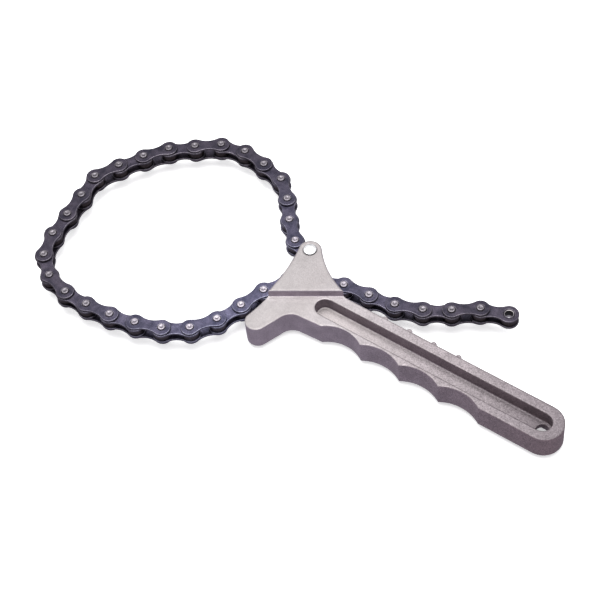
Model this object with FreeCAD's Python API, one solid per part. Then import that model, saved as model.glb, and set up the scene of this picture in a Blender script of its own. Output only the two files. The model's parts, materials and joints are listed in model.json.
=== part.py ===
import FreeCAD, Part
import math
import os

# A chain-type strap wrench: a cast handle with a forked head, and a half-inch
# roller chain that is pinned in the fork at one end, runs round the work,
# comes back through the fork and ends in a free tail.
# Millimetres. +X runs along the handle from head to hanging hole, +Y towards
# the anchor lug, +Z up. The origin is on the flat underside of the lower ear,
# on the line of the handle's back edge, straight below the anchor's cross line.

# Heights above the lower ear's underside
HEAD_THICKNESS = 18.8
BODY_BOTTOM = 2.3
BODY_TOP = 15.0
FORK_GAP = 9.6
MID_Z = HEAD_THICKNESS / 2

# Head and anchor lug
ANCHOR = (0.0, 11.4)
LUG_RADIUS = 5.4
LUG_SIDE_ANGLE = 41.0
EAR_EDGE_MIDDLE = (13.8, 6.2)
EAR_EDGE_END = (27.0, 0.0)
PAD_EDGE_LEFT = (-3.3, -18.1)
PAD_EDGE_RIGHT = (25.5, 0.1)
SEAT_LEFT = (-3.4, -18.4)
SEAT_MIDDLE = (7.2, -6.0)
SEAT_RIGHT = (24.0, 0.9)

# Nose below the head
NOSE_LEFT = (-4.6, -31.7)
NOSE_TIP = (0.4, -36.5)
NOSE_RIGHT = (5.3, -33.3)
THROAT_LOWER = (8.4, -25.0)
THROAT_MIDDLE = (10.7, -21.1)
THROAT_UPPER = (15.5, -19.3)
HEAD_SIDE_MIDDLE = (-2.5, -10.5)

# Grip
GRIP_WIDTH = 17.7
GRIP_END_X = 142.0
SCALLOPS = 4
SCALLOP_FIRST_X = 26.5
SCALLOP_FIRST_Y = -18.6
SCALLOP_LENGTH = 20.0
SCALLOP_DEPTH = 2.9
EDGE_ROUND = 0.6

# Blind pockets above and below a thin web, and the hanging hole through it
POCKET_LEFT_X = 17.7
POCKET_RIGHT_X = 136.9
POCKET_WIDTH = 8.6
POCKET_CENTRE_Y = -9.2
POCKET_DEPTH = 6.3
UNDER_POCKET_DEPTH = 3.6
HANG_RADIUS = 2.9
HANG_X = 132.9

# Chain-catching teeth on the back edge
TEETH = 4
TOOTH_FIRST_X = 46.4
TOOTH_HEIGHT = 3.6
TOOTH_ROOT = 6.0
TOOTH_TIP = 2.4
TOOTH_THICKNESS = 2.7

# Half-inch by one-eighth roller chain
PITCH = 12.7
LINKS = 35
PLATE_THICKNESS = 1.0
INNER_WIDTH = 3.3
INNER_END_RADIUS = 4.55
INNER_WAIST = 2.95
OUTER_END_RADIUS = 4.2
OUTER_WAIST = 2.7
PLATE_GAP = 0.1
PIN_RADIUS = 1.8
PIN_LENGTH = 8.7
PIN_CHAMFER = 0.25
BUSH_RADIUS = 2.55
BUSH_BORE = 1.86
ROLLER_RADIUS = 3.875
ROLLER_BORE = 2.62
ROLLER_LENGTH = 3.1

# Anchor pin
ANCHOR_PIN_RADIUS = 1.8
ANCHOR_HEAD_RADIUS = 3.05
ANCHOR_HEAD_PROUD = 0.5
ANCHOR_HEAD_SUNK = 0.7

# The chain lies along a smooth curve through these points, from the anchor
# round the loop, through the fork and out to the tail.
CHAIN_ROUTE = [
    ANCHOR, (-12.2, 16.0), (-29.4, 34.1), (-39.2, 42.6), (-51.2, 45.6),
    (-63.4, 47.4), (-75.8, 45.2), (-86.0, 37.8), (-95.9, 30.0), (-110.0, 9.2),
    (-115.9, -2.0), (-114.3, -14.6), (-110.8, -39.8), (-106.5, -52.0), (-96.6, -60.2),
    (-71.0, -64.0), (-45.6, -60.0), (-23.2, -49.0), (-11.4, -27.6), (-1.9, -4.2),
    (20.5, 6.6), (46.2, 9.8), (68.7, 20.2), (78.6, 27.6), (94.0, 33.0),
]


def vec(point, z=0.0):
    return FreeCAD.Vector(point[0], point[1], z)


def line(start, end):
    return Part.LineSegment(vec(start), vec(end)).toShape()


def arc(start, middle, end):
    return Part.Arc(vec(start), vec(middle), vec(end)).toShape()


def prism(edges, bottom, top):
    """A solid between two heights, over the closed outline that the edges make."""
    face = Part.Face(Part.Wire(edges))
    face.translate(FreeCAD.Vector(0, 0, bottom))
    return face.extrude(FreeCAD.Vector(0, 0, top - bottom))


def polygon(points):
    return [line(a, b) for a, b in zip(points, points[1:] + points[:1])]


def cylinder(centre, radius, bottom, top):
    return Part.makeCylinder(radius, top - bottom, vec(centre, bottom))


def scallop_edges():
    """Finger scallops on the front edge, from the grip's end towards the head."""
    cusps = [(SCALLOP_FIRST_X, SCALLOP_FIRST_Y)]
    for i in range(1, SCALLOPS + 1):
        cusps.append((SCALLOP_FIRST_X + i * SCALLOP_LENGTH, -GRIP_WIDTH))
    edges = []
    for left, right in reversed(list(zip(cusps, cusps[1:]))):
        middle = (left[0] + SCALLOP_LENGTH * 0.48, SCALLOP_DEPTH - GRIP_WIDTH)
        edges.append(arc(right, middle, left))
    return edges


def casting_outline():
    """Plan outline of head, nose and grip, clockwise from the lug's left side."""
    end_radius = GRIP_WIDTH / 2
    grip_end = GRIP_END_X - end_radius
    side = math.radians(LUG_SIDE_ANGLE)
    lug_left = (ANCHOR[0] - LUG_RADIUS, ANCHOR[1])
    lug_top = (ANCHOR[0], ANCHOR[1] + LUG_RADIUS)
    lug_right = (ANCHOR[0] + LUG_RADIUS * math.cos(side), ANCHOR[1] + LUG_RADIUS * math.sin(side))
    scallops_end = (SCALLOP_FIRST_X + SCALLOPS * SCALLOP_LENGTH, -GRIP_WIDTH)
    return [
        arc(lug_left, lug_top, lug_right),
        arc(lug_right, EAR_EDGE_MIDDLE, EAR_EDGE_END),
        line(EAR_EDGE_END, (grip_end, 0.0)),
        arc((grip_end, 0.0), (GRIP_END_X, -end_radius), (grip_end, -GRIP_WIDTH)),
        line((grip_end, -GRIP_WIDTH), scallops_end),
        *scallop_edges(),
        line((SCALLOP_FIRST_X, SCALLOP_FIRST_Y), THROAT_UPPER),
        arc(THROAT_UPPER, THROAT_MIDDLE, THROAT_LOWER),
        line(THROAT_LOWER, NOSE_RIGHT),
        arc(NOSE_RIGHT, NOSE_TIP, NOSE_LEFT),
        arc(NOSE_LEFT, HEAD_SIDE_MIDDLE, lug_left),
    ]


def ear_pads():
    """The thick part of the head, beyond the slanting step across the casting."""
    slope = (PAD_EDGE_RIGHT[1] - PAD_EDGE_LEFT[1]) / (PAD_EDGE_RIGHT[0] - PAD_EDGE_LEFT[0])
    reach = 30.0
    left = (PAD_EDGE_LEFT[0] - reach, PAD_EDGE_LEFT[1] - reach * slope)
    right = (PAD_EDGE_RIGHT[0] + reach, PAD_EDGE_RIGHT[1] + reach * slope)
    beyond = prism(polygon([left, right, (right[0], 60.0), (left[0], 60.0)]), 0.0, HEAD_THICKNESS)
    return prism(casting_outline(), 0.0, HEAD_THICKNESS).common(beyond)


def fork_slot():
    """The gap between the ears, down to the rounded seat that the chain bends over."""
    left = SEAT_LEFT[0] - 30.0
    right = SEAT_RIGHT[0] + 15.0
    edges = [
        line((left, SEAT_LEFT[1]), SEAT_LEFT),
        arc(SEAT_LEFT, SEAT_MIDDLE, SEAT_RIGHT),
        line(SEAT_RIGHT, (right, SEAT_RIGHT[1])),
        line((right, SEAT_RIGHT[1]), (right, 40.0)),
        line((right, 40.0), (left, 40.0)),
        line((left, 40.0), (left, SEAT_LEFT[1])),
    ]
    return prism(edges, MID_Z - FORK_GAP / 2, MID_Z + FORK_GAP / 2)


def pockets():
    """Long blind pockets with round ends, one in the grip's upper face and one below."""
    radius = POCKET_WIDTH / 2
    left = POCKET_LEFT_X + radius
    right = POCKET_RIGHT_X - radius
    low = POCKET_CENTRE_Y - radius
    high = POCKET_CENTRE_Y + radius
    edges = [
        line((left, high), (right, high)),
        arc((right, high), (POCKET_RIGHT_X, POCKET_CENTRE_Y), (right, low)),
        line((right, low), (left, low)),
        arc((left, low), (POCKET_LEFT_X, POCKET_CENTRE_Y), (left, high)),
    ]
    upper = prism(edges, BODY_TOP - POCKET_DEPTH, BODY_TOP)
    lower = prism(edges, BODY_BOTTOM, BODY_BOTTOM + UNDER_POCKET_DEPTH)
    return [upper, lower]


def tooth(x):
    """One tooth on the back edge, thin enough to stand between a link's plates."""
    root = 0.5
    half_root = TOOTH_ROOT / 2
    half_tip = TOOTH_TIP / 2
    shoulder = TOOTH_HEIGHT - half_tip * 0.6
    edges = [
        line((x - half_root, -root), (x + half_root, -root)),
        line((x + half_root, -root), (x + half_root, 0.0)),
        line((x + half_root, 0.0), (x + half_tip, shoulder)),
        arc((x + half_tip, shoulder), (x, TOOTH_HEIGHT), (x - half_tip, shoulder)),
        line((x - half_tip, shoulder), (x - half_root, 0.0)),
        line((x - half_root, 0.0), (x - half_root, -root)),
    ]
    return prism(edges, MID_Z - TOOTH_THICKNESS / 2, MID_Z + TOOTH_THICKNESS / 2)


def outer_edges(solid, height):
    """Outline edges of the casting that lie at one height, without the pocket's."""
    found = []
    for edge in solid.Edges:
        box = edge.BoundBox
        level = abs(box.ZMin - height) < 1e-6 and abs(box.ZMax - height) < 1e-6
        middle = edge.valueAt((edge.FirstParameter + edge.LastParameter) / 2)
        in_pocket = (
            POCKET_LEFT_X - 0.5 < middle.x < POCKET_RIGHT_X + 0.5
            and abs(middle.y - POCKET_CENTRE_Y) < POCKET_WIDTH / 2 + 0.5
        )
        if level and not in_pocket:
            found.append(edge)
    return found


def handle():
    """The one-piece casting: grip, nose, forked head and back-edge teeth."""
    body = prism(casting_outline(), BODY_BOTTOM, BODY_TOP).fuse(ear_pads()).removeSplitter()
    rims = outer_edges(body, 0.0) + outer_edges(body, HEAD_THICKNESS)
    body = body.makeFillet(EDGE_ROUND, rims)
    cuts = [fork_slot()] + pockets()
    cuts.append(cylinder((HANG_X, POCKET_CENTRE_Y), HANG_RADIUS, 0.0, HEAD_THICKNESS))
    cuts.append(cylinder(ANCHOR, ANCHOR_PIN_RADIUS, 0.0, HEAD_THICKNESS))
    sink = HEAD_THICKNESS - ANCHOR_HEAD_SUNK
    cuts.append(cylinder(ANCHOR, ANCHOR_HEAD_RADIUS, sink, HEAD_THICKNESS))
    body = body.cut(Part.makeCompound(cuts))
    teeth = [tooth(TOOTH_FIRST_X + i * PITCH) for i in range(TEETH)]
    return body.fuse(teeth).removeSplitter()


def anchor_pin():
    """Headed pin through both ears and the chain's first bush, flush underneath."""
    shank = cylinder(ANCHOR, ANCHOR_PIN_RADIUS, 0.0, HEAD_THICKNESS)
    sink = HEAD_THICKNESS - ANCHOR_HEAD_SUNK
    head = cylinder(ANCHOR, ANCHOR_HEAD_RADIUS, sink, HEAD_THICKNESS + ANCHOR_HEAD_PROUD)
    rim = [e for e in head.Edges if e.BoundBox.ZMin > HEAD_THICKNESS + ANCHOR_HEAD_PROUD / 2]
    head = head.makeFillet(ANCHOR_HEAD_PROUD / 2, rim)
    return shank.fuse(head).removeSplitter()


def chain_pins():
    """Pin centres: equal chords of one pitch stepped off along the route."""
    curve = Part.BSplineCurve()
    curve.interpolate([vec(p) for p in CHAIN_ROUTE])
    stations = [curve.value(curve.FirstParameter)]
    parameter = curve.FirstParameter
    for _ in range(LINKS):
        low = parameter
        high = parameter + (curve.LastParameter - curve.FirstParameter) / 12
        for _ in range(60):
            parameter = (low + high) / 2
            if (curve.value(parameter) - stations[-1]).Length < PITCH:
                low = parameter
            else:
                high = parameter
        stations.append(curve.value(parameter))
    return [(p.x, p.y) for p in stations]


def place(shape, start, end):
    """Moves a shape drawn from the origin along +X onto the link from start to end."""
    heading = math.degrees(math.atan2(end[1] - start[1], end[0] - start[0]))
    shape.rotate(vec((0, 0)), FreeCAD.Vector(0, 0, 1), heading)
    shape.translate(vec(start))
    return shape


def plate(end_radius, waist, hole_radius, bottom):
    """A figure-eight side plate with its first hole at the origin."""
    half = PITCH / 2
    hollow = (half ** 2 + waist ** 2 - end_radius ** 2) / (2 * (end_radius - waist))
    reach = math.hypot(half, waist + hollow)
    touch_x = end_radius * half / reach
    touch_y = end_radius * (waist + hollow) / reach
    edges = [
        arc((touch_x, touch_y), (-end_radius, 0), (touch_x, -touch_y)),
        arc((touch_x, -touch_y), (half, -waist), (PITCH - touch_x, -touch_y)),
        arc((PITCH - touch_x, -touch_y), (PITCH + end_radius, 0), (PITCH - touch_x, touch_y)),
        arc((PITCH - touch_x, touch_y), (half, waist), (touch_x, touch_y)),
    ]
    blank = prism(edges, bottom, bottom + PLATE_THICKNESS)
    for x in (0, PITCH):
        blank = blank.cut(cylinder((x, 0), hole_radius, bottom, bottom + PLATE_THICKNESS))
    return blank


def inner_link():
    """Two plates held by two bushes, with a roller turning on each bush."""
    face = MID_Z + INNER_WIDTH / 2
    under = MID_Z - INNER_WIDTH / 2 - PLATE_THICKNESS
    solids = [plate(INNER_END_RADIUS, INNER_WAIST, BUSH_RADIUS, z) for z in (under, face)]
    for x in (0, PITCH):
        bore = cylinder((x, 0), BUSH_BORE, under, face + PLATE_THICKNESS)
        solids.append(cylinder((x, 0), BUSH_RADIUS, under, face + PLATE_THICKNESS).cut(bore))
        low = MID_Z - ROLLER_LENGTH / 2
        high = MID_Z + ROLLER_LENGTH / 2
        roller = cylinder((x, 0), ROLLER_RADIUS, low, high)
        solids.append(roller.cut(cylinder((x, 0), ROLLER_BORE, low, high)))
    return Part.makeCompound(solids)


def outer_link():
    """Two plates that lie outside the inner links' plates."""
    face = MID_Z + INNER_WIDTH / 2 + PLATE_THICKNESS + PLATE_GAP
    under = 2 * MID_Z - face - PLATE_THICKNESS
    return Part.makeCompound([plate(OUTER_END_RADIUS, OUTER_WAIST, PIN_RADIUS, z) for z in (under, face)])


def link_pins():
    """The two riveted pins of an outer link."""
    low = MID_Z - PIN_LENGTH / 2
    pins = []
    for x in (0, PITCH):
        pin = cylinder((x, 0), PIN_RADIUS, low, low + PIN_LENGTH)
        rims = [e for e in pin.Edges if e.BoundBox.ZLength < 1e-6]
        pins.append(pin.makeChamfer(PIN_CHAMFER, rims))
    return Part.makeCompound(pins)


def chain():
    """Inner and outer links in turn, each a node, and each outer link's pins."""
    nodes = {}
    stations = chain_pins()
    for i, (start, end) in enumerate(zip(stations, stations[1:])):
        number = i // 2 + 1
        if i % 2 == 0:
            nodes[f"inner_link_{number:02d}"] = place(inner_link(), start, end)
        else:
            nodes[f"outer_link_{number:02d}"] = place(outer_link(), start, end)
            nodes[f"link_pins_{number:02d}"] = place(link_pins(), start, end)
    return nodes


def build():
    nodes = {"handle": handle(), "anchor_pin": anchor_pin()}
    nodes.update(chain())
    return nodes


def main():
    os.makedirs("parts", exist_ok=True)
    for name, shape in build().items():
        shape.exportStep(f"parts/{name}.step")


if __name__ == "__main__":
    main()
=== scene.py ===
import json
import math

import bmesh
import bpy
from mathutils import Matrix, Vector


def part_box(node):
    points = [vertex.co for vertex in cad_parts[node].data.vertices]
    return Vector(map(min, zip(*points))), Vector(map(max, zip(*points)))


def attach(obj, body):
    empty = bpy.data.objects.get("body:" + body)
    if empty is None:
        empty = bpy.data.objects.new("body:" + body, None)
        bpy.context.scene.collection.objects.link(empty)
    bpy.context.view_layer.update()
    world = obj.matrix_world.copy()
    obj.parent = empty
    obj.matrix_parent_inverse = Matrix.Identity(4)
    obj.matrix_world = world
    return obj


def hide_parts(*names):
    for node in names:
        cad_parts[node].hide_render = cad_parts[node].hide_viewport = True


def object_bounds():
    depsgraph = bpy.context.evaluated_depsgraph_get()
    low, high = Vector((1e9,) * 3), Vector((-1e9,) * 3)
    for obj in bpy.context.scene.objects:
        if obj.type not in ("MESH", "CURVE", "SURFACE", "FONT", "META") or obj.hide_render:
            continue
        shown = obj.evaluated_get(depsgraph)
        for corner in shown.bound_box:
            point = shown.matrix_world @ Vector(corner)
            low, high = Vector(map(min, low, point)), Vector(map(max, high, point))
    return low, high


# Looks for a chain-type strap wrench: a blasted aluminium casting, a blued roller chain
# with bright riveted pins, and a zinc-plated anchor pin. Metres, in the CAD's own frame.

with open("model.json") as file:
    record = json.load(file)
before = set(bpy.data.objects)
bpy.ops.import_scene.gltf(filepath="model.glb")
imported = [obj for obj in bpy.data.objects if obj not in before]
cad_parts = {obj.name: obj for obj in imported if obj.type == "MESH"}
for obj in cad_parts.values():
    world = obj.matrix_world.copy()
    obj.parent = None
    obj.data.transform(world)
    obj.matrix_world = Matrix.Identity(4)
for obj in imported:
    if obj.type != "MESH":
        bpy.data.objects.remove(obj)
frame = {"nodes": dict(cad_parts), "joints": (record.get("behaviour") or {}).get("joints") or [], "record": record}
CAD_LOW, CAD_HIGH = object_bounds()

MM = 0.001

# Chain sizes
PITCH = 12.7 * MM
PLATE_THICKNESS = 1.0 * MM
INNER_WIDTH = 3.3 * MM
INNER_END_RADIUS = 4.55 * MM
INNER_WAIST = 2.95 * MM
OUTER_END_RADIUS = 4.2 * MM
OUTER_WAIST = 2.7 * MM
PLATE_GAP = 0.1 * MM
PLATE_EDGE = 0.32 * MM
PIN_RADIUS = 1.8 * MM
PIN_LENGTH = 8.7 * MM
BUSH_RADIUS = 2.55 * MM
BUSH_BORE = 1.86 * MM
BUSH_EDGE = 0.25 * MM
ROLLER_RADIUS = 3.875 * MM
ROLLER_BORE = 2.62 * MM
ROLLER_LENGTH = 3.1 * MM
ROLLER_EDGE = 0.25 * MM
HEAD_DEPTH = 1.2 * MM    # the anchor pin's head, from its top to its underside
END_STEPS = 20       # segments round each end of a plate
WAIST_STEPS = 12     # segments along each waist
ROUND_STEPS = 48     # segments round pins, bushes and rollers
HOLE_STEPS = 28      # segments round the holes of a plate
RIM_STEPS = 3        # segments across a rounded rim
RIM_BOW = 0.3        # share of a rim's radius taken off at its middle
ON_AXIS = 1e-7       # a smaller radius lies on the axis of a turned part
LOOP_LINKS = 27      # links from the anchor pin to the fork
TAIL_LINKS = 7       # links beyond the one in the fork

# Strips of a turned profile, counted from its first point
BORE_STRIP = 6
MOUTH_STRIPS = range(4, 9)
HEAD_EDGE_STRIPS = (4, 5)

# Casting surface
CAST_VOXEL = 0.32 * MM
CAST_SMOOTHING = 1
CAST_CREASE = math.radians(28)

# Camera: what it looks at, how far off, and how it is turned
CAMERA_TARGET = Vector((10.0, -11.2, 13.75)) * MM
CAMERA_DISTANCE = 729 * MM
CAMERA_AZIMUTH = 40.8
CAMERA_ELEVATION = 53.6
CAMERA_ROLL = 6.9
CAMERA_LENS = 98.2
CAMERA_SENSOR = 36.0

# Casting: base tones, and painted light: the sides take their own tone apart from the flats, and the tones are
# painted darker from the head to the grip's end
CAST_FLAT = (0.335, 0.315, 0.318)
# Painted light: the sides take their own brighter, purpler tone than the flats
CAST_SIDE_PAINTED_TONE = (0.37, 0.325, 0.37)
CAST_METALLIC = 0.45
CAST_ROUGH = 0.46
PAINTED_FALLOFF_SPAN = (0.0, 0.140)
# Painted light falloff: the flats are painted paler at the head and darker towards the grip's end
FLAT_PAINTED_FALLOFF = [
    (0.0, (0.95, 0.94, 0.93)), (0.1, (0.98, 0.96, 0.95)), (0.2, (1.06, 1.04, 1.05)),
    (0.5, (0.82, 0.77, 0.79)), (1.0, (0.52, 0.475, 0.505)),
]
# Painted light: the sides are painted paler at the head and darker towards the grip's end
SIDE_PAINTED_LIGHT = [(0.0, (1.38, 1.36, 1.38)), (0.3, (1.22, 1.20, 1.20)), (1.0, (0.92, 0.81, 0.76))]
# Painted light falloff: the pocket floor is painted pale at the head and dark at the grip's end
POCKET_FLOOR_PAINTED_LIGHT = [(0.15, (1.30, 1.26, 1.24)), (0.5, (0.98, 0.93, 0.95)), (1.0, (0.38, 0.335, 0.365))]
# Painted shade: the pocket's walls are painted darker
POCKET_WALL_PAINTED_SHADE = [(0.15, (0.52, 0.48, 0.49)), (0.5, (0.66, 0.60, 0.61)), (1.0, (0.50, 0.45, 0.43))]

# Where the casting's pocket, head step and pocket rim lie, and the painted shade and light laid there
POCKET_MIDDLE = -9.2 * MM
POCKET_HALF_WIDTH = 4.75 * MM
POCKET_START = 17.4 * MM
POCKET_END = 137.2 * MM
POCKET_TOP = 14.85 * MM
BODY_TOP = 15.15 * MM
STEP_POINT = (-3.3 * MM, -18.1 * MM)
STEP_NORMAL = (0.534, -0.845)
STEP_REACH = 4.0 * MM
STEP_LAP = 0.3 * MM
# Painted light: a bright strip at the step's foot lifts the step's shade
STEP_FOOT_PAINTED_LIGHT = [
    (0.0, (2.3, 2.3, 2.3)), (0.15, (1.9, 1.9, 1.9)), (0.3, (1.45, 1.45, 1.45)),
    (0.6, (1.15, 1.15, 1.15)), (1.0, (1.0, 1.0, 1.0)),
]
# Painted shade: the raised ear's side walls are painted darker
EAR_WALL_SHADE = (0.76, 0.74, 0.76)
RIM_BAND = (4.25 * MM, 4.62 * MM)
RIM_SPAN = (22.0 * MM, 132.6 * MM)
# Painted shade: a dark hairline along the pocket's rim
RIM_PAINTED_SHADE = (0.30, 0.27, 0.28)

# Casting grain, weaker at the head
GRAIN_SCALE = 1900
GRAIN_SPAN = (0.015, 0.080)
GRAIN_LEAST = 0.32
GRAIN_DARK = (0.50, 0.48, 0.50)
GRAIN_LIGHT = (1.34, 1.34, 1.34)

# Chain: painted highlight within reach of the head, plates brighter and bluer and pins brighter there
PLATE_TONE = 0.51
PIN_TONE = (0.165, 0.152, 0.168)
HIGHLIGHT_CENTRE = (-0.012, -0.024, 0.0094)
HIGHLIGHT_REACH = (0.015, 0.085)
PLATE_HIGHLIGHT_TINT = (1.60, 1.78, 2.02)
PIN_HIGHLIGHT_TINT = (2.05, 2.05, 2.10)
PIN_ROUGH = 0.34
PIN_DENTS = 0.22 * MM
BUSH_TONE = (0.50, 0.47, 0.48)
ANCHOR_TONE = (0.50, 0.50, 0.51)
# Painted shade on the anchor head's upright edge
ANCHOR_EDGE_SHADE = (0.09, 0.09, 0.095)
# Painted shade and light in the bush's bore: dark above, light below
BORE_SHADE = 0.06
BORE_PAINTED_LIGHT = 0.75
BORE_SPAN = (-1.3 * MM, -0.7 * MM)

# Stage
FLOOR_HALF = 40.0
FLOOR_GAP = 0.02 * MM
FLOOR_LOW = (0.925, 0.925, 0.925)
FLOOR_HIGH = (0.94, 0.94, 0.94)
FLOOR_GLOW = 0.45
HORIZON = (0.30, 0.28, 0.33)
SKY = 1.0
KEY_PLACE = (-0.30, 0.12, 1.16)
LAMP_SIZE = 0.9
KEY_WATTS = 10.4
OVER_PLACE = (0.15, 0.10, 1.3)
OVER_WATTS = 6.0

WHITE = (1.0, 1.0, 1.0, 1.0)

JOINTS = {joint["name"]: joint for joint in frame["joints"]}
MOUNTS = {mount["name"]: mount for mount in frame["record"]["mounts"]}
MID_Z = JOINTS["anchor_hinge"]["pos_m"][2]


# ---------------------------------------------------------------- node helpers

class Shader:
    """A Principled material with short helpers for its texture nodes."""

    def __init__(self, name, colour, metallic, roughness, **sockets):
        self.material = bpy.data.materials.new(name)
        self.material.use_nodes = True
        self.nodes = self.material.node_tree.nodes
        self.links = self.material.node_tree.links
        self.bsdf = self.nodes["Principled BSDF"]
        self.bsdf.inputs["Base Color"].default_value = (*colour, 1)
        self.bsdf.inputs["Metallic"].default_value = metallic
        self.bsdf.inputs["Roughness"].default_value = roughness
        for socket, value in sockets.items():
            self.bsdf.inputs[socket.replace("_", " ")].default_value = value
        coordinates = self.nodes.new("ShaderNodeTexCoord")
        self.position = coordinates.outputs["Object"]
        self.facing = coordinates.outputs["Normal"]

    def noise(self, per_metre, detail=4.0, roughness=0.55):
        node = self.nodes.new("ShaderNodeTexNoise")
        node.inputs["Scale"].default_value = per_metre
        node.inputs["Detail"].default_value = detail
        node.inputs["Roughness"].default_value = roughness
        self.links.new(self.position, node.inputs["Vector"])
        return node.outputs["Fac"]

    def ramp(self, value, stops):
        """Colours over the value: stops are (position, (r, g, b)) pairs."""
        node = self.nodes.new("ShaderNodeValToRGB")
        elements = node.color_ramp.elements
        while len(elements) < len(stops):
            elements.new(0.5)
        for element, (place, colour) in zip(elements, stops):
            element.position = place
            element.color = (*colour, 1)
        self.links.new(value, node.inputs["Fac"])
        return node.outputs["Color"]

    def spread(self, value, low, high, start=0.3, end=0.7):
        """Maps a noise value onto the range from low to high."""
        node = self.nodes.new("ShaderNodeMapRange")
        node.inputs["From Min"].default_value = start
        node.inputs["From Max"].default_value = end
        node.inputs["To Min"].default_value = low
        node.inputs["To Max"].default_value = high
        self.links.new(value, node.inputs["Value"])
        return node.outputs["Result"]

    def mix(self, factor, first, second, blend="MIX"):
        node = self.nodes.new("ShaderNodeMix")
        node.data_type = "RGBA"
        node.blend_type = blend
        sockets = (node.inputs[0], node.inputs[6], node.inputs[7])
        for socket, value in zip(sockets, (factor, first, second)):
            if hasattr(value, "is_output"):
                self.links.new(value, socket)
            else:
                socket.default_value = value
        return node.outputs[2]

    def bump(self, height, strength, distance, base=None):
        node = self.nodes.new("ShaderNodeBump")
        node.inputs["Strength"].default_value = strength
        node.inputs["Distance"].default_value = distance
        self.links.new(height, node.inputs["Height"])
        if base:
            self.links.new(base, node.inputs["Normal"])
        return node.outputs["Normal"]

    def upward(self, start, end):
        """0 on sides and 1 on flat faces, from how far the true surface faces up or down."""
        axes = self.nodes.new("ShaderNodeSeparateXYZ")
        self.links.new(self.facing, axes.inputs[0])
        steep = self.nodes.new("ShaderNodeMath")
        steep.operation = "ABSOLUTE"
        self.links.new(axes.outputs["Z"], steep.inputs[0])
        return self.spread(steep.outputs[0], 0.0, 1.0, start, end)

    def calculate(self, operation, first, second=0.0):
        node = self.nodes.new("ShaderNodeMath")
        node.operation = operation
        for socket, value in zip(node.inputs, (first, second)):
            if hasattr(value, "is_output"):
                self.links.new(value, socket)
            else:
                socket.default_value = value
        return node.outputs[0]

    def axis(self, letter):
        """One coordinate of the surface point, in the piece's own frame."""
        axes = self.nodes.new("ShaderNodeSeparateXYZ")
        self.links.new(self.position, axes.inputs[0])
        return axes.outputs[letter]

    def clouds(self, colour, per_metre, depth):
        """The colour with soft lighter and darker clouds."""
        low = tuple(c * (1 - depth) for c in colour)
        high = tuple(c * (1 + depth) for c in colour)
        return self.ramp(self.noise(per_metre, 3), [(0.35, low), (0.65, high)])

    def distance_from(self, centre):
        node = self.nodes.new("ShaderNodeVectorMath")
        node.operation = "DISTANCE"
        self.links.new(self.position, node.inputs[0])
        node.inputs[1].default_value = centre
        return node.outputs["Value"]

    def painted_highlight(self, tint):
        """A painted highlight: the tint beside the head, fading to white along the chain."""
        away = self.spread(self.distance_from(HIGHLIGHT_CENTRE), 0.0, 1.0, *HIGHLIGHT_REACH)
        return self.ramp(away, [(0.0, tint), (1.0, (1.0, 1.0, 1.0))])

    def off_pocket_middle(self):
        """Distance across the grip from the pocket's middle line."""
        across = self.calculate("SUBTRACT", self.axis("Y"), POCKET_MIDDLE)
        return self.calculate("ABSOLUTE", across)

    def pocket(self):
        """1 on the walls and floor of the handle's long pocket, 0 elsewhere."""
        off_middle = self.off_pocket_middle()
        across = self.calculate("LESS_THAN", off_middle, POCKET_HALF_WIDTH)
        along = self.between(self.axis("X"), POCKET_START, POCKET_END)
        below_top = self.calculate("LESS_THAN", self.axis("Z"), POCKET_TOP)
        return self.calculate("MULTIPLY", self.calculate("MULTIPLY", across, below_top), along)

    def between(self, value, low, high):
        """1 where the value lies between the two limits, 0 elsewhere."""
        above = self.calculate("GREATER_THAN", value, low)
        return self.calculate("MULTIPLY", above, self.calculate("LESS_THAN", value, high))

    def beyond_step(self):
        """Distance from the foot of the head's slanting step, towards the grip."""
        parts = []
        for letter, origin, share in zip("XY", STEP_POINT, STEP_NORMAL):
            offset = self.calculate("SUBTRACT", self.axis(letter), origin)
            parts.append(self.calculate("MULTIPLY", offset, share))
        return self.calculate("ADD", *parts)

    def painted_light_at_step(self):
        """Painted light: a bright strip at the foot of the step, lifting the step's shade, fading to white over
        the body.
        """
        height = self.calculate("LESS_THAN", self.axis("Z"), BODY_TOP)
        distance = self.beyond_step()
        near = self.between(distance, -STEP_LAP, STEP_REACH)
        away = self.spread(distance, 0.0, 1.0, 0.0, STEP_REACH)
        return self.mix(self.calculate("MULTIPLY", height, near), WHITE, self.ramp(away, STEP_FOOT_PAINTED_LIGHT))

    def pocket_rim_shade(self):
        """1 on a hairline of painted shade along the pocket's straight edges, 0 elsewhere."""
        off_middle = self.off_pocket_middle()
        along = self.between(self.axis("X"), *RIM_SPAN)
        band = self.calculate("MULTIPLY", self.between(off_middle, *RIM_BAND), along)
        on_top = self.calculate("GREATER_THAN", self.axis("Z"), POCKET_TOP)
        return self.calculate("MULTIPLY", band, on_top)

    def set(self, socket, output):
        self.links.new(output, self.bsdf.inputs[socket])


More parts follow.
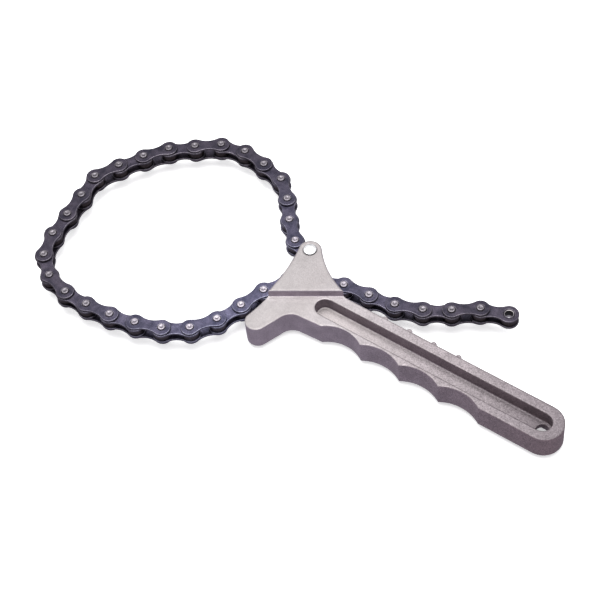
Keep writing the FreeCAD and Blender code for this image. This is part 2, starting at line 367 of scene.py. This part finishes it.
def cast_aluminium():
    """Blasted casting with painted light: pale at the head and painted darker towards the grip's end, sides in
    their own painted tone, painted shade on the pocket walls, the ear's walls and the pocket rim, and a painted
    bright strip at the step's foot.
    """
    s = Shader("cast_aluminium", CAST_FLAT, CAST_METALLIC, CAST_ROUGH)
    # Painted light falloff along the handle, from the head to the grip's end
    along = s.spread(s.axis("X"), 0.0, 1.0, *PAINTED_FALLOFF_SPAN)
    flats = s.mix(1.0, s.clouds(CAST_FLAT, 90, 0.07), s.ramp(along, FLAT_PAINTED_FALLOFF), "MULTIPLY")
    # Painted light: the sides get their own tone and falloff
    sides = s.mix(1.0, s.clouds(CAST_SIDE_PAINTED_TONE, 140, 0.11), s.ramp(along, SIDE_PAINTED_LIGHT), "MULTIPLY")
    floors = s.mix(1.0, s.clouds(CAST_FLAT, 90, 0.07), s.ramp(along, POCKET_FLOOR_PAINTED_LIGHT), "MULTIPLY")
    # Painted shade on the pocket's walls
    walls = s.mix(1.0, s.clouds(CAST_SIDE_PAINTED_TONE, 140, 0.11), s.ramp(along, POCKET_WALL_PAINTED_SHADE), "MULTIPLY")
    # Painted light: flats and sides of the casting take different tones by which way they face
    level = s.upward(0.55, 0.93)
    # Painted light at the foot of the step
    flats = s.mix(1.0, flats, s.painted_light_at_step(), "MULTIPLY")
    # Painted shade on the side walls above the body's top
    raised = s.calculate("GREATER_THAN", s.axis("Z"), BODY_TOP)
    sides = s.mix(1.0, sides, s.mix(raised, WHITE, (*EAR_WALL_SHADE, 1)), "MULTIPLY")
    outside = s.mix(level, sides, flats)
    inside = s.mix(level, walls, floors)
    # The pocket's walls and floor take their painted shade and light
    tone = s.mix(s.pocket(), outside, inside)
    # Painted shade along the pocket's rim
    tone = s.mix(1.0, tone, s.mix(s.pocket_rim_shade(), WHITE, (*RIM_PAINTED_SHADE, 1)), "MULTIPLY")
    grain = s.ramp(s.noise(GRAIN_SCALE, 2, 0.7), [(0.3, GRAIN_DARK), (0.7, GRAIN_LIGHT)])
    grain = s.mix(s.spread(s.axis("X"), GRAIN_LEAST, 1.0, *GRAIN_SPAN), WHITE, grain)
    s.set("Base Color", s.mix(1.0, tone, grain, "MULTIPLY"))
    s.set("Roughness", s.spread(s.noise(700, 4), CAST_ROUGH - 0.07, CAST_ROUGH + 0.09))
    coarse = s.bump(s.noise(420, 3), 0.35, 0.25 * MM)
    s.set("Normal", s.bump(s.noise(2400, 3, 0.65), 0.6, 0.10 * MM, coarse))
    return s.material


def blued_steel(name, dark, light, roughness):
    """Blued, lightly oiled plate: blue-black with faint brown clouds and a brighter, bluer painted highlight near
    the head.
    """
    dark = tuple(c * PLATE_TONE for c in dark)
    light = tuple(c * PLATE_TONE for c in light)
    s = Shader(name, dark, 0.85, roughness)
    clouds = s.ramp(s.noise(260, 4), [(0.32, dark), (0.68, light)])
    # Painted highlight near the head, brighter and bluer
    clouds = s.mix(1.0, clouds, s.painted_highlight(PLATE_HIGHLIGHT_TINT), "MULTIPLY")
    specks = s.ramp(s.noise(2200, 2, 0.7), [(0.25, (0.50, 0.48, 0.50)), (0.7, (1.25, 1.25, 1.25))])
    s.set("Base Color", s.mix(1.0, clouds, specks, "MULTIPLY"))
    s.set("Roughness", s.spread(s.noise(900, 4), roughness - 0.07, roughness + 0.10))
    s.set("Normal", s.bump(s.noise(1900, 4, 0.6), 0.25, 0.05 * MM))
    return s.material


def bright_steel(name, colour, roughness, speck, highlight_tint=(1.0, 1.0, 1.0), dents=0.04 * MM):
    """Ground or plated steel with slight stains and dents, with a painted highlight near the head from the
    highlight tint.
    """
    s = Shader(name, colour, 0.9, roughness)
    stain = tuple(c * speck for c in colour)
    stains = s.ramp(s.noise(1500, 4, 0.6), [(0.3, stain), (0.6, colour)])
    # Painted highlight near the head
    s.set("Base Color", s.mix(1.0, stains, s.painted_highlight(highlight_tint), "MULTIPLY"))
    s.set("Roughness", s.spread(s.noise(2200, 3), roughness - 0.06, roughness + 0.10))
    s.set("Normal", s.bump(s.noise(1500, 3), 0.6, dents))
    return s.material


def bore_painted_light_and_shade():
    """The inside of a bush: painted shade above, painted light below."""
    s = Shader("bore_steel", (BORE_SHADE,) * 3, 0.9, 0.45)
    height = s.spread(s.axis("Z"), 0.0, 1.0, MID_Z + BORE_SPAN[0], MID_Z + BORE_SPAN[1])
    s.set("Base Color", s.ramp(height, [(0.0, (BORE_PAINTED_LIGHT,) * 3), (1.0, (BORE_SHADE,) * 3)]))
    return s.material


def floor_paper():
    """Plain white paper with a very faint tooth."""
    s = Shader("floor_paper", (0.93, 0.93, 0.93), 0.0, 0.9, Emission_Strength=FLOOR_GLOW)
    s.bsdf.inputs["Emission Color"].default_value = WHITE
    s.set("Base Color", s.ramp(s.noise(40, 3), [(0.3, FLOOR_LOW), (0.7, FLOOR_HIGH)]))
    return s.material


MATERIALS = {
    "casting": cast_aluminium(),
    "inner_plate": blued_steel("inner_plate_steel", (0.046, 0.041, 0.066), (0.128, 0.110, 0.152), 0.41),
    "outer_plate": blued_steel("outer_plate_steel", (0.039, 0.036, 0.057), (0.109, 0.093, 0.129), 0.40),
    # Painted highlight: the plates' rims take a lighter steel
    "plate_edge": blued_steel("plate_edge_steel", (0.15, 0.135, 0.17), (0.33, 0.30, 0.35), 0.36),
    "roller": blued_steel("roller_steel", (0.100, 0.080, 0.080), (0.200, 0.165, 0.160), 0.36),
    "bush": bright_steel("bush_steel", BUSH_TONE, 0.34, 0.62),
    "pin": bright_steel("pin_steel", PIN_TONE, PIN_ROUGH, 0.45, PIN_HIGHLIGHT_TINT, PIN_DENTS),
    "bore": bore_painted_light_and_shade(),
    # Painted shade for the anchor head's upright edge
    "anchor_side": bright_steel("anchor_side_steel", ANCHOR_EDGE_SHADE, 0.45, 0.80),
    "anchor": bright_steel("anchor_steel", ANCHOR_TONE, 0.28, 0.80),
}


# ---------------------------------------------------------------- mesh helpers

def new_object(name, mesh, *materials):
    """An object in the scene with its material slots."""
    piece = bpy.data.objects.new(name, mesh)
    bpy.context.scene.collection.objects.link(piece)
    if not mesh.materials:
        for material in materials:
            mesh.materials.append(MATERIALS[material])
    return piece


def rounded_rim(height, edge):
    """Inset and height of each ring up one side of a slab whose rims are rounded."""
    lower = []
    for i in range(RIM_STEPS + 1):
        turn = math.pi / 2 * i / RIM_STEPS
        lower.append((edge * (1 - math.sin(turn)), edge * (1 - math.cos(turn))))
    return lower + [(inset, height - rise) for inset, rise in reversed(lower)]


def plate_outline(end_radius, waist):
    """Points round a figure-eight plate, anticlockwise, first hole at the origin."""
    half = PITCH / 2
    hollow = (half ** 2 + waist ** 2 - end_radius ** 2) / (2 * (end_radius - waist))
    reach = math.hypot(half, waist + hollow)
    touch = math.atan2(waist + hollow, half)
    points = []
    for i in range(END_STEPS):
        turn = touch + (2 * math.pi - 2 * touch) * i / END_STEPS
        points.append((end_radius * math.cos(turn), end_radius * math.sin(turn)))
    sweep = math.pi / 2 - touch
    for i in range(WAIST_STEPS):
        turn = math.pi / 2 + sweep - 2 * sweep * i / WAIST_STEPS
        y = hollow * math.sin(turn) - math.sin(touch) * reach
        points.append((half + hollow * math.cos(turn), y))
    return points + [(PITCH - x, -y) for x, y in points]


def circle(centre_x, radius, count):
    """Points round a hole, anticlockwise."""
    turns = [2 * math.pi * i / count for i in range(count)]
    return [(centre_x + radius * math.cos(t), radius * math.sin(t)) for t in turns]


def add_plate(bm, end_radius, waist, hole, bottom):
    """One punched side plate with rounded rims: faces are slot 0, rims are slot 1."""
    rims = rounded_rim(PLATE_THICKNESS, PLATE_EDGE)
    outer_rings = []
    hole_rings = [[], []]
    for inset, rise in rims:
        z = bottom + rise
        outline = plate_outline(end_radius - inset, waist - inset)
        outer_rings.append([bm.verts.new((x, y, z)) for x, y in outline])
        for side, x_hole in enumerate((0.0, PITCH)):
            ring = circle(x_hole, hole + inset, HOLE_STEPS)
            hole_rings[side].append([bm.verts.new((x, y, z)) for x, y in ring])
    for rings, outward in ((outer_rings, 1), (hole_rings[0], -1), (hole_rings[1], -1)):
        for low, high in zip(rings, rings[1:]):
            for i in range(len(low)):
                j = (i + 1) % len(low)
                quad = [low[i], low[j], high[j], high[i]]
                face = bm.faces.new(quad if outward > 0 else quad[::-1])
                face.smooth = True
                face.material_index = 1
    for level in (0, -1):
        loops = [outer_rings[level], hole_rings[0][level], hole_rings[1][level]]
        edges = [bm.edges.get((ring[i], ring[i - 1])) for ring in loops for i in range(len(ring))]
        filled = bmesh.ops.triangle_fill(bm, edges=edges, use_beauty=True)
        for face in filled["geom"]:
            if isinstance(face, bmesh.types.BMFace):
                face.material_index = 0


def add_turned(bm, centre_x, profile, slot_of):
    """A turned part about a vertical axis: profile is a closed or capped list of (radius, z)."""
    rings = []
    for radius, z in profile:
        if radius < ON_AXIS:
            rings.append([bm.verts.new((centre_x, 0, z))])
        else:
            rings.append([bm.verts.new((x, y, z)) for x, y in circle(centre_x, radius, ROUND_STEPS)])
    closed = profile[0] != profile[-1] and profile[0][0] > ON_AXIS
    pairs = list(zip(rings, rings[1:]))
    if closed:
        pairs.append((rings[-1], rings[0]))
    for index, (low, high) in enumerate(pairs):
        for i in range(ROUND_STEPS):
            j = (i + 1) % ROUND_STEPS
            if len(low) == 1:
                corners = [low[0], high[j], high[i]]
            elif len(high) == 1:
                corners = [low[i], low[j], high[0]]
            else:
                corners = [low[i], low[j], high[j], high[i]]
            face = bm.faces.new(corners)
            face.smooth = True
            face.material_index = slot_of(index)


def finished(bm, name):
    bmesh.ops.recalc_face_normals(bm, faces=bm.faces)
    mesh = bpy.data.meshes.new(name)
    bm.to_mesh(mesh)
    bm.free()
    return mesh


def only_slot(_):
    return 0


# ---------------------------------------------------------------- chain pieces

def inner_plates_mesh():
    bm = bmesh.new()
    face = INNER_WIDTH / 2
    for bottom in (-face - PLATE_THICKNESS, face):
        add_plate(bm, INNER_END_RADIUS, INNER_WAIST, BUSH_RADIUS, bottom)
    return finished(bm, "inner_plates")


def outer_plates_mesh():
    bm = bmesh.new()
    face = INNER_WIDTH / 2 + PLATE_THICKNESS + PLATE_GAP
    for bottom in (-face - PLATE_THICKNESS, face):
        add_plate(bm, OUTER_END_RADIUS, OUTER_WAIST, PIN_RADIUS, bottom)
    return finished(bm, "outer_plates")


def tube_profile(bore, radius, half, edge):
    """Closed profile of a short tube with rounded rims."""
    bow = edge * RIM_BOW
    return [
        (radius, -half + edge), (radius, half - edge), (radius - bow, half - bow),
        (radius - edge, half), (bore + edge, half), (bore + bow, half - bow),
        (bore, half - edge), (bore, -half + edge), (bore + bow, -half + bow),
        (bore + edge, -half), (radius - edge, -half), (radius - bow, -half + bow),
    ]


def bush_slot(strip):
    """Bright mouths, a bore of its own, blued elsewhere."""
    if strip == BORE_STRIP:
        return 2
    return 0 if strip in MOUTH_STRIPS else 1


def bushes_mesh():
    bm = bmesh.new()
    for x in (0.0, PITCH):
        half = INNER_WIDTH / 2 + PLATE_THICKNESS
        add_turned(bm, x, tube_profile(BUSH_BORE, BUSH_RADIUS, half, BUSH_EDGE), bush_slot)
    return finished(bm, "bushes")


def rollers_mesh():
    bm = bmesh.new()
    for x in (0.0, PITCH):
        profile = tube_profile(ROLLER_BORE, ROLLER_RADIUS, ROLLER_LENGTH / 2, ROLLER_EDGE)
        add_turned(bm, x, profile, only_slot)
    return finished(bm, "rollers")


def pins_mesh():
    """Riveted pins: a rounded rim and a shallow peened dimple at each end."""
    bm = bmesh.new()
    half = PIN_LENGTH / 2
    upper = [
        (PIN_RADIUS, half - 0.36 * MM), (PIN_RADIUS - 0.03 * MM, half - 0.20 * MM),
        (PIN_RADIUS - 0.12 * MM, half - 0.08 * MM), (PIN_RADIUS - 0.30 * MM, half - 0.01 * MM),
        (PIN_RADIUS * 0.62, half), (PIN_RADIUS * 0.44, half - 0.03 * MM),
        (PIN_RADIUS * 0.26, half - 0.16 * MM), (0.0, half - 0.20 * MM),
    ]
    lower = [(radius, -z) for radius, z in reversed(upper)]
    for x in (0.0, PITCH):
        add_turned(bm, x, lower + upper, only_slot)
    return finished(bm, "pins")


def stations():
    """Pin centres from the anchor to the empty bush at the tail."""
    names = ["anchor_hinge"] + [f"loop_hinge_{i:02d}" for i in range(1, LOOP_LINKS + 1)]
    names += [f"tail_hinge_{i}" for i in range(1, TAIL_LINKS + 1)]
    points = [Vector(JOINTS[name]["pos_m"]) if name in JOINTS else None for name in names]
    points.append(Vector(MOUNTS["tail_bush"]["pos_m"]))
    # The one pin without a joint lies at the other end of the link before it
    low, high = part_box("outer_link_08")
    open_pin = points.index(None)
    points[open_pin] = low + high - points[open_pin - 1]
    return points


def place(name, shape, materials, start, end, body, slot, *nodes):
    """Sets a link piece between two pins and lets it ride on its link's body."""
    heading = math.atan2(end.y - start.y, end.x - start.x)
    mesh = shape.copy()
    mesh.transform(Matrix.Translation((start.x, start.y, MID_Z)) @ Matrix.Rotation(heading, 4, "Z"))
    piece = new_object(name, mesh, *materials)
    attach(piece, body)
    if nodes:
        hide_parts(*nodes)


def build_chain():
    inner_plates = inner_plates_mesh()
    outer_plates = outer_plates_mesh()
    bushes = bushes_mesh()
    rollers = rollers_mesh()
    pins = pins_mesh()
    points = stations()
    for i, (start, end) in enumerate(zip(points, points[1:])):
        number = f"{i // 2 + 1:02d}"
        if i % 2 == 0:
            body = f"inner_link_{number}"
            span = (start, end, body, "inner_link")
            place(f"inner_plates_{number}", inner_plates, ("inner_plate", "plate_edge"), *span, body)
            place(f"bushes_{number}", bushes, ("bush", "inner_plate", "bore"), *span)
            place(f"rollers_{number}", rollers, ("roller",), *span)
        else:
            body = f"outer_link_{number}"
            pins_node = f"link_pins_{number}"
            span = (start, end, body)
            # The plates' rims take the lighter steel, a painted highlight
            steels = ("outer_plate", "plate_edge")
            place(f"outer_plates_{number}", outer_plates, steels, *span, "outer_link", body)
            place(f"riveted_pins_{number}", pins, ("pin",), *span, "link_pins", pins_node)


# ---------------------------------------------------------------- anchor pin and casting

def anchor_slot(strip):
    """Painted shade on the upright edge of the head, bright elsewhere."""
    return 1 if strip in HEAD_EDGE_STRIPS else 0


def build_anchor_pin():
    """Headed pin: a low domed head with a rounded rim, and a shank flush underneath."""
    low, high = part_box("anchor_pin")
    centre = (low + high) / 2
    head = (high.x - low.x) / 2
    top = high.z
    sunk = top - HEAD_DEPTH
    bm = bmesh.new()
    profile = [
        (0.0, low.z), (PIN_RADIUS - 0.2 * MM, low.z), (PIN_RADIUS, low.z + 0.2 * MM),
        (PIN_RADIUS, sunk), (head, sunk), (head, top - 0.15 * MM), (head - 0.03 * MM, top - 0.08 * MM),
        (head - 0.09 * MM, top - 0.035 * MM), (head - 0.22 * MM, top - 0.015 * MM),
        (head * 0.5, top - 0.005 * MM), (0.0, top),
    ]
    add_turned(bm, 0.0, profile, anchor_slot)
    pin = new_object("anchor_rivet", finished(bm, "anchor_rivet"), "anchor", "anchor_side")
    pin.location = (centre.x, centre.y, 0)
    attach(pin, "handle")
    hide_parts("anchor_pin")


def build_casting():
    """The CAD casting's form with the soft rims of a sand-blasted casting."""
    mesh = frame["nodes"]["handle"].data.copy()
    mesh.materials.clear()
    casting = new_object("handle_casting", mesh, "casting")
    remesh = casting.modifiers.new("even_skin", "REMESH")
    remesh.mode = "VOXEL"
    remesh.voxel_size = CAST_VOXEL
    remesh.use_smooth_shade = True
    soften = casting.modifiers.new("soft_rims", "SMOOTH")
    soften.factor = 0.5
    soften.iterations = CAST_SMOOTHING
    depsgraph = bpy.context.evaluated_depsgraph_get()
    skin = bpy.data.meshes.new_from_object(casting.evaluated_get(depsgraph))
    skin.set_sharp_from_angle(angle=CAST_CREASE)
    casting.modifiers.clear()
    casting.data = skin
    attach(casting, "handle")
    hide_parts("handle")


# ---------------------------------------------------------------- stage

def area_light(name, place_at, watts):
    """A square lamp aimed at the origin."""
    data = bpy.data.lights.new(name, "AREA")
    data.shape = "RECTANGLE"
    data.size = LAMP_SIZE
    data.size_y = LAMP_SIZE
    data.energy = watts
    lamp = bpy.data.objects.new(name, data)
    lamp.location = place_at
    lamp.rotation_euler = (-Vector(place_at)).to_track_quat("-Z", "Y").to_euler()
    bpy.context.scene.collection.objects.link(lamp)


def build_stage():
    half = FLOOR_HALF
    bm = bmesh.new()
    corners = [(-half, -half), (half, -half), (half, half), (-half, half)]
    bm.faces.new([bm.verts.new((x, y, CAD_LOW.z - FLOOR_GAP)) for x, y in corners])
    mesh = finished(bm, "floor")
    mesh.materials.append(floor_paper())
    floor = bpy.data.objects.new("floor", mesh)
    bpy.context.scene.collection.objects.link(floor)

    floor.visible_diffuse = False
    floor.visible_glossy = False
    build_sky()
    area_light("key", KEY_PLACE, KEY_WATTS)
    area_light("overhead", OVER_PLACE, OVER_WATTS)
    bpy.context.scene.view_settings.view_transform = "Standard"


def build_sky():
    """A soft tent of light: bright overhead, dim at the horizon, dark below."""
    world = bpy.data.worlds.new("studio")
    world.use_nodes = True
    nodes = world.node_tree.nodes
    links = world.node_tree.links
    direction = nodes.new("ShaderNodeTexCoord")
    height = nodes.new("ShaderNodeSeparateXYZ")
    links.new(direction.outputs["Generated"], height.inputs[0])
    ramp = nodes.new("ShaderNodeValToRGB")
    low, high = ramp.color_ramp.elements
    low.position = 0.0
    low.color = (*HORIZON, 1)
    high.position = 1.0
    high.color = (1.0, 1.0, 1.0, 1)
    links.new(height.outputs["Z"], ramp.inputs["Fac"])
    background = nodes["Background"]
    links.new(ramp.outputs["Color"], background.inputs["Color"])
    background.inputs["Strength"].default_value = SKY
    bpy.context.scene.world = world


def camera_axes():
    """Right, up and back directions of the camera, from its azimuth, elevation and roll."""
    azimuth = math.radians(CAMERA_AZIMUTH)
    elevation = math.radians(CAMERA_ELEVATION)
    ahead = Vector((
        -math.sin(azimuth) * math.cos(elevation),
        math.cos(azimuth) * math.cos(elevation),
        -math.sin(elevation),
    ))
    level = Vector((math.cos(azimuth), math.sin(azimuth), 0))
    upright = level.cross(ahead)
    roll = math.radians(CAMERA_ROLL)
    right = math.cos(roll) * level - math.sin(roll) * upright
    up = math.sin(roll) * level + math.cos(roll) * upright
    return right, up, -ahead


def build_camera():
    right, up, back = camera_axes()
    data = bpy.data.cameras.new("camera")
    data.lens = CAMERA_LENS
    data.sensor_width = CAMERA_SENSOR
    camera = bpy.data.objects.new("camera", data)
    turn = Matrix((right, up, back)).transposed().to_4x4()
    camera.matrix_world = Matrix.Translation(CAMERA_TARGET + back * CAMERA_DISTANCE) @ turn
    bpy.context.scene.collection.objects.link(camera)
    bpy.context.scene.camera = camera


build_camera()
build_casting()
build_anchor_pin()
build_chain()
build_stage()
